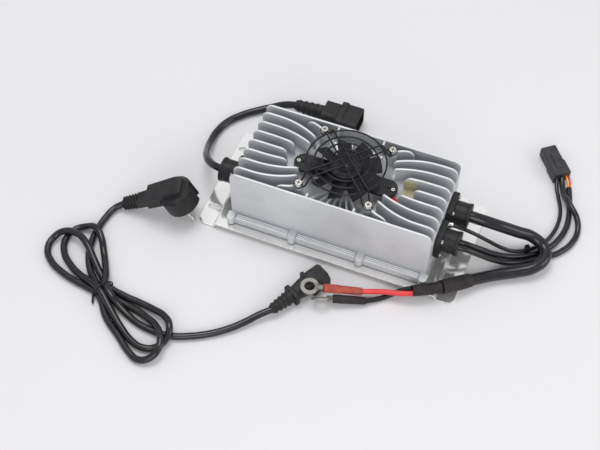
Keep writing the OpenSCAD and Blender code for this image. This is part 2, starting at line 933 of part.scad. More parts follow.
// Two legs bent down from the spokes and joined by a loop round the screw
module guard_foot(spoke_reach, spoke_z, foot_reach, post_reach, loop_z) {
    half = spoke_gap / 2;
    for (s = [-1, 1]) {
        wire([spoke_reach, s * half, spoke_z], [foot_reach, s * half, loop_z]);
        wire([foot_reach, s * half, loop_z], [post_reach, s * half, loop_z]);
    }
    translate([post_reach, 0, loop_z])
        rotate(-90)
            rotate_extrude(angle = 180, $fn = 20)
                translate([half, 0])
                    circle(d = guard_wire, $fn = 6);
}

module guard_screws() {
    color(steel)
        four(guard_half, guard_half)
            translate([0, 0, post_top + guard_wire])
                pan_screw(guard_screw_r, guard_screw_l, guard_head_r, guard_head_h);
}

// Fan wires and their sealed outlet

module fan_leads() {
    for (i = [0, 1])
        color(i == 0 ? lead_red : black_plastic)
            translate([0, fan_wire_y + i * 2.4 * fan_wire_r, 0])
                rod([fan_wire_x, 0, bracket_z - fan_wire_r],
                    [seal_x0 - fit, 0, deck_z + seal_pad_h / 2], fan_wire_r, fan_wire_r);
}

// Sealing compound over the wire hole, smeared up the fin behind it
module wire_seal() {
    color(seal_tan)
        translate([0, 0, deck_z]) {
            linear_extrude(height = seal_pad_h)
                seal_plan();
            linear_extrude(height = seal_smear_h)
                difference() {
                    seal_plan();
                    fin_side_disc(seal_smear_t);
                }
        }
}

// Plan of the gap between the two fins beside the cut-back middle fin
module seal_plan() {
    intersection() {
        translate([seal_x0, -fin_pitch])
            square([seal_x1 - seal_x0, 2 * fin_pitch]);
        fin_side_disc(0);
        mirror([0, 1, 0])
            fin_side_disc(0);
    }
}

// Disc inside the curve of the fin behind the seal, kept off the fin by a gap
module fin_side_disc(gap) {
    translate([end_x - fin_straight, fin_pitch - fin_bends[0]])
        circle(r = fin_bends[0] - fin_t / 2 - fit - gap, $fn = 96);
}

// Glands

module gland(bores) {
    difference() {
        union() {
            linear_extrude(height = gland_t)
                round_rect(gland_side, gland_side, gland_corner);
            cylinder(h = gland_t + gland_collar_l, d = gland_collar_d);
            translate([0, 0, gland_t + gland_collar_l - gland_lip_l])
                cylinder(h = gland_lip_l, r = gland_collar_d / 2 + gland_lip);
        }
        for (bore = bores)
            translate([0, bore[0], -1])
                cylinder(h = gland_t + gland_collar_l + 2, d = bore[1]);
        gland_screw_places()
            translate([0, 0, -1])
                cylinder(h = gland_t + 2, r = gland_screw_r + fit);
    }
}

module input_gland() {
    color(black_plastic)
        gland_frame(-1, -gland_y)
            gland([[0, mains_d]]);
}

module output_gland() {
    color(black_plastic)
        gland_frame(1, gland_y)
            gland([[0, output_d]]);
}

module signal_gland() {
    color(black_plastic)
        gland_frame(1, -gland_y)
            gland([[-signal_gap / 2, signal_d], [signal_gap / 2, signal_d]]);
}

module gland_gaskets() {
    color(black_rubber)
        gland_places()
            translate([0, 0, -gland_gasket_t])
                linear_extrude(height = gland_gasket_t)
                    difference() {
                        round_rect(gland_side - 1, gland_side - 1, gland_corner);
                        circle(d = output_d + 2 * cable_hole);
                        four(gland_screw_pitch / 2, gland_screw_pitch / 2)
                            circle(r = gland_screw_r + fit);
                    }
}

module gland_screws() {
    color(steel)
        gland_places()
            gland_screw_places()
                translate([0, 0, gland_t])
                    pan_screw(gland_screw_r, gland_screw_l, gland_head_r, gland_head_h);
}

module sensor_stub() {
    color(steel)
        difference() {
            union() {
                translate([end_x, 0, stub_z])
                    rotate([0, 90, 0])
                        cylinder(h = stub_l, r = stub_r);
                translate([cavity_x, 0, stub_z])
                    rotate([0, 90, 0])
                        cylinder(h = wall_t + eps, r = stub_neck_r);
            }
            translate([end_x + stub_l / 2, 0, stub_z])
                rotate([0, 90, 0])
                    cylinder(h = stub_l, d = sensor_d);
        }
}

// Mains pigtail and its inlet connector

module mains_pigtail() {
    color(black_rubber)
        tube(pigtail_route, mains_d);
}

// Block centred on the X axis, from x, with rounded long edges
module connector_block(x, size, r) {
    translate([x, 0, 0])
        rotate([90, 0, 90])
            linear_extrude(height = size.x)
                round_rect(size.y, size.z, r);
}

// Ribbed strain relief along X
module strain_relief(l, r1, r2, ribs) {
    rotate([0, 90, 0])
        cylinder(h = l, r1 = r1, r2 = r2);
    for (i = [0 : ribs - 1])
        translate([l * (0.1 + 0.6 * i / (ribs - 1)), 0, 0])
            rotate([0, 90, 0])
                cylinder(h = l * 0.06, r = r1 + (r2 - r1) * (0.1 + 0.6 * i / (ribs - 1)) + 1);
}

module inlet_connector() {
    body_x = inlet_relief_l;
    collar_x = body_x + inlet_body.x;
    shroud_x = collar_x + inlet_collar.x;
    color(black_plastic)
        translate([inlet_x, inlet_y, inlet_z])
            difference() {
                union() {
                    strain_relief(inlet_relief_l, mains_d / 2 + 1.5, 8.5, 4);
                    connector_block(body_x, inlet_body, 6);
                    connector_block(collar_x, inlet_collar, 4);
                    connector_block(shroud_x, inlet_shroud, 3);
                }
                translate([shroud_x, -inlet_cavity.x / 2, -inlet_cavity.y / 2])
                    cube([inlet_shroud.x + 1, inlet_cavity.x, inlet_cavity.y]);
                rotate([0, 90, 0])
                    translate([0, 0, -1])
                        cylinder(h = inlet_relief_l / 3, d = mains_d);
            }
}

module inlet_pins() {
    pin_x = inlet_x + inlet_relief_l + inlet_body.x + inlet_collar.x;
    color(steel)
        for (i = [-1, 0, 1])
            translate([pin_x, inlet_y + i * pin_gap - pin_size.y / 2, inlet_z - pin_size.z / 2])
                translate([0, 0, i == 0 ? earth_pin_lift : 0])
                    cube(pin_size);
}

// Output cable, its sleeves and the two ring terminals

module output_cable() {
    color(black_rubber)
        tube(output_route, output_d);
}

module output_sleeve() {
    color(black_rubber)
        rod(sleeve_start, sleeve_joint, sleeve_r, sleeve_r);
}

module output_end_sleeve() {
    color(black_rubber)
        rod(sleeve_joint, sleeve_end, end_sleeve_r, end_sleeve_r);
}

module positive_lead() {
    color(lead_red)
        tube(positive_route, output_lead_d, 8);
}

module negative_lead() {
    color(black_rubber)
        tube(negative_route, output_lead_d, 8);
}

module positive_sleeve() {
    color(sleeve_red)
        rod(positive_sleeve_start, positive_sleeve_end, lead_sleeve_r, lead_sleeve_r);
}

module negative_sleeve() {
    color(black_rubber)
        rod(negative_sleeve_start, negative_sleeve_end, lead_sleeve_r, lead_sleeve_r);
}

// Ring terminal along X: the ring is at the origin, the barrel reaches to x = reach
module ring_lug(reach) {
    difference() {
        union() {
            translate([0, 0, -lug_t / 2])
                cylinder(h = lug_t, r = lug_ring_r);
            translate([0, -lug_tongue_w / 2, -lug_t / 2])
                cube([reach - 4, lug_tongue_w, lug_t]);
            translate([reach - 6, 0, 0])
                rotate([0, 90, 0])
                    cylinder(h = 6, r = lug_barrel_r);
        }
        translate([0, 0, -lug_t])
            cylinder(h = 2 * lug_t, r = lug_hole_r);
    }
}

// Places a terminal on its ring point, turned toward the end of its sleeve
module lug_place(at, toward, roll) {
    d = toward - at;
    translate(at)
        rotate([0, 0, atan2(d.y, d.x)])
            rotate([roll, 0, 0])
                ring_lug(norm(d));
}

module positive_lug() {
    color(steel)
        lug_place(positive_ring, positive_sleeve_end, 0);
}

module negative_lug() {
    color(steel)
        lug_place(negative_ring, negative_sleeve_end, negative_lug_roll);
}

// Signal and sensor cables with their shared connector

module signal_cable_a() {
    color(black_rubber)
        tube(signal_a_route, signal_d);
}

module signal_cable_b() {
    color(black_rubber)
        tube(signal_b_route, signal_d);
}

module sensor_cable() {
    color(black_rubber)
        tube(sensor_route, sensor_d, 8);
}

// Tie round the sensor cable where it drops to the floor
module cable_tie() {
    at = sensor_route[6];
    ahead = sensor_route[7];
    color(black_plastic)
        translate(at)
            rotate([0, 0, atan2(ahead.y - at.y, ahead.x - at.x)]) {
                rotate([0, 90, 0])
                    difference() {
                        cylinder(h = tie_w, d = sensor_d + 1);
                        translate([0, 0, -1])
                            cylinder(h = tie_w + 2, d = sensor_d);
                    }
                translate([0, -2.5, sensor_d / 2])
                    cube([tie_w, 5, 4]);
            }
}

// Connector frame: x along its length, from its cable end
module signal_conn_frame() {
    translate([signal_conn_at.x, signal_conn_at.y, signal_conn.z / 2])
        rotate(signal_conn_turn)
            translate([-signal_conn.x / 2, 0, 0])
                children();
}

module signal_connector() {
    rear_l = signal_conn.x * 0.45;
    front_l = signal_conn.x - rear_l;
    color(black_plastic)
        signal_conn_frame()
            difference() {
                union() {
                    connector_block(0, [rear_l, signal_conn.y, signal_conn.z], 2);
                    connector_block(rear_l, [front_l, signal_conn.y - 2, signal_conn.z - 1], 2);
                    translate([signal_conn.x * 0.2, -3, signal_conn.z / 2 - 1])
                        cube([signal_conn.x * 0.5, 6, 2.4]);
                }
                for (y = [-1, 1], z = [-1, 1])
                    translate([signal_conn.x - 6, y * 3.5 - 1.5, z * 2.5 - 1.2])
                        cube([7, 3, 2.4]);
            }
}

module signal_wires() {
    for (i = [0, 1])
        color(i == 0 ? wire_yellow : lead_red)
            rod(signal_a_route[len(signal_a_route) - 1] + i * signal_wire_step,
                signal_wire_end + i * signal_wire_step, signal_wire_r, signal_wire_r);
}

// Detachable mains lead: plug, cord, hank and outlet connector

// Plug frame: x along the pins, with x = 0 on the plug's face, and z along the cord; it leans on its pins
module plug_frame() {
    translate(plug_at)
        rotate([0, plug_lean, plug_turn])
            children();
}

module lead_plug() {
    color(black_plastic)
        plug_frame() {
            rotate([plug_roll, 0, 0])
                rotate([0, 90, 0])
                    difference() {
                        union() {
                            translate([0, 0, -plug_t])
                                cylinder(h = plug_t, r = plug_r);
                            translate([0, 0, -plug_t - plug_back_t])
                                cylinder(h = plug_back_t + eps, r1 = plug_r * 0.82, r2 = plug_r * 0.96);
                        }
                        for (s = [-1, 1])
                            translate([s * plug_r, 0, -plug_t / 2])
                                cube([plug_slot.x, plug_slot.y, plug_t + 2], center = true);
                        for (s = [-1, 1])
                            translate([0, s * plug_pin_pitch / 2, -plug_pin_seat])
                                cylinder(h = plug_pin_seat + 1, r = plug_pin_r);
                    }
            difference() {
                plug_body();
                for (i = [0 : boot_ribs - 1])
                    translate([boot_x, 0, boot_tip_z + i * boot_pitch])
                        boot_slots();
            }
        }
}

// Moulded body and strain relief, cut to its side view and to its half widths
module plug_body() {
    ends = len(plug_halves) - 1;
    plan = concat([for (h = plug_halves) [-h[0], h[1]]],
        [for (i = [ends : -1 : 0]) [-plug_halves[i][0], -plug_halves[i][1]]]);
    intersection() {
        rotate([90, 0, 0])
            linear_extrude(height = 2 * plug_r, center = true)
                polygon(plug_side);
        rotate([0, 90, 0])
            linear_extrude(height = 4 * plug_r, center = true)
                polygon(plan);
    }
}

// One notch in each side of the strain relief, and a slot in its back and front half a pitch on
module boot_slots() {
    for (s = [-1, 1]) {
        translate([0, s * (boot_core.y / 2 + 5), 0])
            cube([20, 10, boot_gap], center = true);
        translate([s * (boot_core.x / 2 + 5), 0, boot_pitch / 2])
            cube([10, boot_slot_w, boot_gap], center = true);
    }
}

module lead_pins() {
    color(steel)
        plug_frame()
            rotate([plug_roll, 0, 0])
                for (s = [-1, 1])
                    translate([-plug_pin_seat, s * plug_pin_pitch / 2, 0])
                        rotate([0, 90, 0])
                            cylinder(h = plug_pin_l + plug_pin_seat, r = plug_pin_r);
}

module lead_cord_plug_side() {
    color(black_rubber)
        tube(plug_side_route, lead_d);
}

module lead_cord_outlet_side() {
    color(black_rubber)
        tube(outlet_side_route, lead_d);
}

// Outer shape of the folded and tied cord: two lobes that meet under the tie
module lead_hank() {
    color(black_rubber)
        linear_extrude(height = hank_t) {
            hank_lobe(hank_plug_lobe, hank_plug_lobe_r);
            hank_lobe(hank_outlet_lobe, hank_outlet_lobe_r);
        }
}

module hank_lobe(at, r) {
    hull() {
        translate(hank_tie_at)
            circle(r = hank_waist_r, $fn = 24);
        translate(at)
            circle(r = r, $fn = 32);
    }
}

module lead_hank_tie() {
    color(black_plastic)
        translate([hank_tie_at.x, hank_tie_at.y, hank_t])
            rotate(hank_turn)
                translate([-tie_w / 2, -hank_waist_r, 0])
                    cube([tie_w, 2 * hank_waist_r, tie_t]);
}

// Outlet frame: x along the connector, from its cable shoulder to its face
module outlet_frame() {
    translate([outlet_at.x, outlet_at.y, outlet_shoulder.z / 2])
        rotate(outlet_turn)
            children();
}

module lead_outlet() {
    shoulder_x = outlet_flange.x + outlet_taper.x;
    nose_x = shoulder_x + outlet_shoulder.x;
    face_x = nose_x + outlet_nose.x;
    color(black_plastic)
        outlet_frame()
            difference() {
                union() {
                    translate([-outlet_relief_l, 0, 0])
                        strain_relief(outlet_relief_l + 1, lead_d / 2 + 1.2, 7, 4);
                    connector_block(0, outlet_flange, 4);
                    intersection() {
                        translate([1, 0, 0])
                            rotate([0, 90, 0])
                                cylinder(h = shoulder_x, r1 = outlet_taper_r1, r2 = outlet_taper_r2);
                        connector_block(0, [face_x, outlet_taper.y, outlet_taper.z], 3);
                    }
                    connector_block(shoulder_x, outlet_shoulder, 3);
                    translate([nose_x - 1, 0, 0])
                        rotate([90, 0, 90])
                            linear_extrude(height = outlet_nose.x + 1)
                                chamfered_rect(outlet_nose.y, outlet_nose.z, outlet_chamfer);
                }
                for (i = [-1, 0, 1])
                    translate([face_x - outlet_slot.x, i * outlet_slot_gap - outlet_slot.y / 2,
                        (i == 0 ? outlet_earth_lift : 0) - outlet_slot.z / 2])
                        cube([outlet_slot.x + 1, outlet_slot.y, outlet_slot.z]);
            }
}

// Rectangle with its two upper corners cut off
module chamfered_rect(w, h, c) {
    polygon([[-w / 2, -h / 2], [w / 2, -h / 2], [w / 2, h / 2 - c], [w / 2 - c, h / 2],
        [c - w / 2, h / 2], [-w / 2, h / 2 - c]]);
}

// Power stage

module main_board() {
    color(board_green)
        translate([0, 0, board_z])
            linear_extrude(height = board_t)
                difference() {
                    square([2 * board_x, 2 * board_y], center = true);
                    four(column_x, column_y)
                        circle(r = board_screw_r + fit);
                }
}

module board_screws() {
    color(steel)
        four(column_x, column_y)
            translate([0, 0, board_z])
                mirror([0, 0, 1])
                    pan_screw(board_screw_r, board_t + board_screw_l - 2, board_head_r, board_head_h);
}

// Ferrite core with its wound bobbin
module transformer() {
    translate([core_x, 0, board_top]) {
        color(ferrite)
            difference() {
                translate([-core.x / 2, -core.y / 2, 0])
                    cube(core);
                for (s = [-1, 1])
                    translate([s * winding_x - winding.x / 2, -core.y, core_leg])
                        cube([winding.x, 2 * core.y, winding.z]);
            }
        color(copper)
            for (s = [-1, 1])
                translate([s * winding_x - winding.x / 2, -winding.y / 2, core_leg])
                    cube(winding);
    }
}

module bulk_capacitors() {
    color(black_plastic)
        for (s = [-1, 1])
            translate([bulk_cap_at.x, s * bulk_cap_at.y, board_top])
                cylinder(h = bulk_cap_h, d = bulk_cap_d);
}

// Wound ring core lying on the board
module wound_ring(d, hole, h) {
    w = (d - hole) / 2;
    rotate_extrude()
        translate([(hole + w) / 2, h / 2])
            round_rect(w, h, wound_round);
}

module filter_choke() {
    color(copper)
        translate([choke_x, 0, board_top])
            wound_ring(choke_d, choke_hole, choke_h);
}

module output_inductor() {
    color(copper)
        translate([inductor_at.x, inductor_at.y, board_top])
            wound_ring(inductor_d, inductor_hole, inductor_h);
}

module output_capacitors() {
    color(black_plastic)
        for (i = [-1, 0, 1])
            translate([output_cap_x, i * output_cap_pitch, board_top])
                cylinder(h = output_cap_h, d = output_cap_d);
}

// Transistors stand on the board and bear on the long walls through insulating pads
module transistor_places() {
    for (x = transistor_xs, s = [0, 1])
        mirror([0, s, 0])
            translate([x, cavity_y, board_top])
                children();
}

module power_transistors() {
    color(black_plastic)
        transistor_places()
            translate([-transistor.x / 2, -pad_t - transistor.y, 0]) {
                translate([0, 0, transistor_lift])
                    cube(transistor);
                for (i = [-1, 0, 1])
                    translate([transistor.x / 2 + i * 5 - 0.6, 0.8, 0])
                        cube([1.2, 0.8, transistor_lift + eps]);
            }
}

module transistor_pads() {
    color(seal_tan)
        transistor_places()
            translate([-transistor.x / 2 - 1, -pad_t, transistor_lift])
                cube([transistor.x + 2, pad_t, transistor.z]);
}

module control_board() {
    color(board_green)
        translate([control_at.x, control_at.y, board_top])
            cube(control_size);
}

module relay() {
    color(lead_red)
        translate([relay_at.x, relay_at.y, board_top])
            cube(relay_size);
}

// Tube fuse with a metal cap at each end
module fuse() {
    color(steel)
        translate([fuse_at.x, fuse_at.y, board_top + fuse_r])
            rotate([0, 90, 0]) {
                cylinder(h = fuse_l, r = fuse_tube_r);
                for (z = [0, fuse_l - fuse_cap_l])
                    translate([0, 0, z])
                        cylinder(h = fuse_cap_l, r = fuse_r);
            }
}

finned_housing();
base_plate();
base_gasket();
base_screws();
fan_bracket();
fan_bracket_screws();
fan_stator();
fan_bearing();
fan_impeller();
fan_magnet();
fan_shaft();
fan_guard();
guard_screws();
fan_leads();
wire_seal();
input_gland();
output_gland();
signal_gland();
gland_gaskets();
gland_screws();
sensor_stub();
mains_pigtail();
inlet_connector();
inlet_pins();
output_cable();
output_sleeve();
output_end_sleeve();
positive_lead();
positive_sleeve();
positive_lug();
negative_lead();
negative_sleeve();
negative_lug();
signal_cable_a();
signal_cable_b();
sensor_cable();
cable_tie();
signal_connector();
signal_wires();
lead_plug();
lead_pins();
lead_cord_plug_side();
lead_hank();
lead_hank_tie();
lead_cord_outlet_side();
lead_outlet();
main_board();
board_screws();
transformer();
bulk_capacitors();
filter_choke();
output_inductor();
output_capacitors();
power_transistors();
transistor_pads();
control_board();
relay();
fuse();
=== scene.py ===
"""Looks of the fan-cooled battery charger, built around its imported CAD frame.

Shapes and routes are in millimetres, scaled by MM. The camera, the lamps and the looks are in metres.
"""
import json
import math

import bmesh
import bpy
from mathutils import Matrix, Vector


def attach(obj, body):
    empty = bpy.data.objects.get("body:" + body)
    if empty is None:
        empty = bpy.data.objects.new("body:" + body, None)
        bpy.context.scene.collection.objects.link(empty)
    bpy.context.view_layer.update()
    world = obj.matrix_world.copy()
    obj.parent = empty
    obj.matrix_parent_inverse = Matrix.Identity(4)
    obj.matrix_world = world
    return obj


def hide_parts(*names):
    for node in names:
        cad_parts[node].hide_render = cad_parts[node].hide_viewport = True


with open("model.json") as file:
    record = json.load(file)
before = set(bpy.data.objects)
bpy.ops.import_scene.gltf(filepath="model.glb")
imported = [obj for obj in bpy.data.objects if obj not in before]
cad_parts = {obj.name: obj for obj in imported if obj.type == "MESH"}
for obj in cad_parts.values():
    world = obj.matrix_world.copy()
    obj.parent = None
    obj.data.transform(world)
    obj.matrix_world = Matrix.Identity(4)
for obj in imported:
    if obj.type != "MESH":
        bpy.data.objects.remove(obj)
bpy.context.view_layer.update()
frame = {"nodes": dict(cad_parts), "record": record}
nodes = frame["nodes"]
slots = {s["node"]: s["material_slot"] for s in frame["record"]["subparts"]}
scene = bpy.context.scene
scene.view_settings.view_transform = "Standard"

MM = 0.001
BODY = "housing"
ROTOR = "fan_rotor"
ROTOR_NODES = ("fan_impeller", "fan_magnet", "fan_shaft")


def add_object(name, data):
    obj = bpy.data.objects.new(name, data)
    scene.collection.objects.link(obj)
    return obj


# Camera, stage and light

CAMERA_AT = (0.211, -0.655, 0.979)
CAMERA_TARGET = (-0.027, -0.0536, 0.040)
CAMERA_LENS = 69.5
SENSOR_WIDTH = 36
CLIP_END = 20
FLOOR_HALF = 6
FLOOR_Z = -0.0003
FLOOR_COLOUR = (0.735, 0.728, 0.737, 1)
FLOOR_ROUGHNESS = 0.6
WORLD_COLOUR = (0.97, 0.975, 1, 1)
WORLD_STRENGTH = 0.62
LAMP_TARGET = (0, 0, 0.03)
LAMPS = (  # name, place, size, energy
    ("key", (-0.4, 0.4, 2.4), 1.3, 21.5),
    ("fill", (0.5, -1.5, 1.1), 1.2, 9),
    ("side", (1.5, 0.1, 0.8), 1, 5),
    ("back", (-0.7, 1.6, 2.3), 2, 2.4),
)


def aim(obj, target):
    obj.rotation_euler = (Vector(target) - obj.location).to_track_quat("-Z", "Y").to_euler()


def add_camera():
    data = bpy.data.cameras.new("camera")
    data.lens = CAMERA_LENS
    data.sensor_width = SENSOR_WIDTH
    data.clip_end = CLIP_END
    cam = add_object("camera", data)
    cam.location = CAMERA_AT
    aim(cam, CAMERA_TARGET)
    scene.camera = cam


def add_lamp(name, at, size, energy):
    data = bpy.data.lights.new(name, "AREA")
    data.shape = "DISK"
    data.size = size
    data.energy = energy
    lamp = add_object(name, data)
    lamp.location = at
    aim(lamp, LAMP_TARGET)


def add_world():
    world = bpy.data.worlds.new("studio")
    world.use_nodes = True
    back = world.node_tree.nodes["Background"]
    back.inputs["Color"].default_value = WORLD_COLOUR
    back.inputs["Strength"].default_value = WORLD_STRENGTH
    scene.world = world


def add_floor():
    mesh = bpy.data.meshes.new("floor")
    r = FLOOR_HALF
    mesh.from_pydata([(-r, -r, 0), (r, -r, 0), (r, r, 0), (-r, r, 0)], [], [(0, 1, 2, 3)])
    floor = add_object("floor", mesh)
    floor.location.z = FLOOR_Z
    mat = bpy.data.materials.new("floor_paper")
    mat.use_nodes = True
    shader = mat.node_tree.nodes["Principled BSDF"]
    shader.inputs["Base Color"].default_value = FLOOR_COLOUR
    shader.inputs["Roughness"].default_value = FLOOR_ROUGHNESS
    mesh.materials.append(mat)


add_camera()
add_floor()
add_world()
for lamp in LAMPS:
    add_lamp(*lamp)


# Materials

class Look:
    """A node material whose colour, roughness and relief vary with noise in object space."""

    COLOUR_SPAN = (0.35, 0.65)  # noise values at the dark and the light colour
    SHEEN_SPAN = (0.3, 0.7)  # noise values at the lowest and the highest roughness
    SHEEN_DETAIL = 4
    WEAR_AND_HIGHLIGHT_SHARE = 0.7  # how far the sharpest edges take the paler colour of wear and painted highlight
    PAINTED_SHADE_SPAN = (0.35, 0.9)  # shares of open sky at full and at no painted shade
    BUMP_STRENGTH = 0.6

    def __init__(self, name, rough, metal, gloss):
        self.mat = bpy.data.materials.new(name)
        self.mat.use_nodes = True
        self.tree = self.mat.node_tree
        self.shader = self.tree.nodes["Principled BSDF"]
        self.shader.inputs["Roughness"].default_value = rough
        self.shader.inputs["Metallic"].default_value = metal
        self.shader.inputs["Specular IOR Level"].default_value = gloss
        self.place = self.tree.nodes.new("ShaderNodeTexCoord").outputs["Object"]

    def link(self, a, b):
        self.tree.links.new(a, b)

    def stretched(self, stretch):
        scale = self.tree.nodes.new("ShaderNodeMapping")
        scale.inputs["Scale"].default_value = stretch
        self.link(self.place, scale.inputs["Vector"])
        return scale.outputs["Vector"]

    def noise(self, size, detail, stretch=None):
        """Noise whose features are about size metres across."""
        tex = self.tree.nodes.new("ShaderNodeTexNoise")
        tex.inputs["Scale"].default_value = 1 / size
        tex.inputs["Detail"].default_value = detail
        self.link(self.stretched(stretch) if stretch else self.place, tex.inputs["Vector"])
        return tex.outputs["Fac"]

    def ramp(self, value, stops):
        ramp = self.tree.nodes.new("ShaderNodeValToRGB")
        for point, (at, colour) in zip(ramp.color_ramp.elements, stops):
            point.position = at
            point.color = (*colour, 1)
        self.link(value, ramp.inputs["Fac"])
        return ramp.outputs["Color"]

    def map_range(self, value, span, low, high):
        """Takes the values of span to those from low to high."""
        reach = self.tree.nodes.new("ShaderNodeMapRange")
        reach.inputs["From Min"].default_value = span[0]
        reach.inputs["From Max"].default_value = span[1]
        reach.inputs["To Min"].default_value = low
        reach.inputs["To Max"].default_value = high
        self.link(value, reach.inputs["Value"])
        return reach.outputs["Result"]

    def set_tint(self, tint):
        self.tint = tint
        self.link(tint, self.shader.inputs["Base Color"])
        return self

    def lay_over(self, colour, share, mode):
        """Lays a second colour over the tint, as far as share says."""
        mix = self.tree.nodes.new("ShaderNodeMix")
        mix.data_type = "RGBA"
        mix.blend_type = mode
        self.link(share, mix.inputs["Factor"])
        self.link(self.tint, mix.inputs["A"])
        mix.inputs["B"].default_value = (*colour, 1)
        return self.set_tint(mix.outputs["Result"])

    def colour(self, dark, light, size, detail=3, stretch=None):
        stops = list(zip(self.COLOUR_SPAN, (dark, light)))
        return self.set_tint(self.ramp(self.noise(size, detail, stretch), stops))

    def wear_and_highlight(self, colour, low=0.52, high=0.6):
        """Paler along the sharp edges: partly wear where handling rubs the surface, partly a painted
        highlight where the edges catch the light.
        """
        edge = self.tree.nodes.new("ShaderNodeNewGeometry").outputs["Pointiness"]
        return self.lay_over(colour, self.map_range(edge, (low, high), 0, self.WEAR_AND_HIGHLIGHT_SHARE), "MIX")

    def painted_shade(self, colour, reach):
        """Painted shade: darker in the depths, where other faces stand closer than reach metres."""
        sky = self.tree.nodes.new("ShaderNodeAmbientOcclusion")
        sky.inputs["Distance"].default_value = reach
        return self.lay_over(colour, self.map_range(sky.outputs["AO"], self.PAINTED_SHADE_SPAN, 1, 0), "MULTIPLY")

    def sheen_spots(self, low, high, size):
        sheen = self.map_range(self.noise(size, self.SHEEN_DETAIL), self.SHEEN_SPAN, low, high)
        self.link(sheen, self.shader.inputs["Roughness"])
        return self

    def relief(self, size, depth, detail=2, stretch=None):
        bump = self.tree.nodes.new("ShaderNodeBump")
        bump.inputs["Strength"].default_value = self.BUMP_STRENGTH
        bump.inputs["Distance"].default_value = depth
        self.link(self.noise(size, detail, stretch), bump.inputs["Height"])
        self.link(bump.outputs["Normal"], self.shader.inputs["Normal"])
        return self


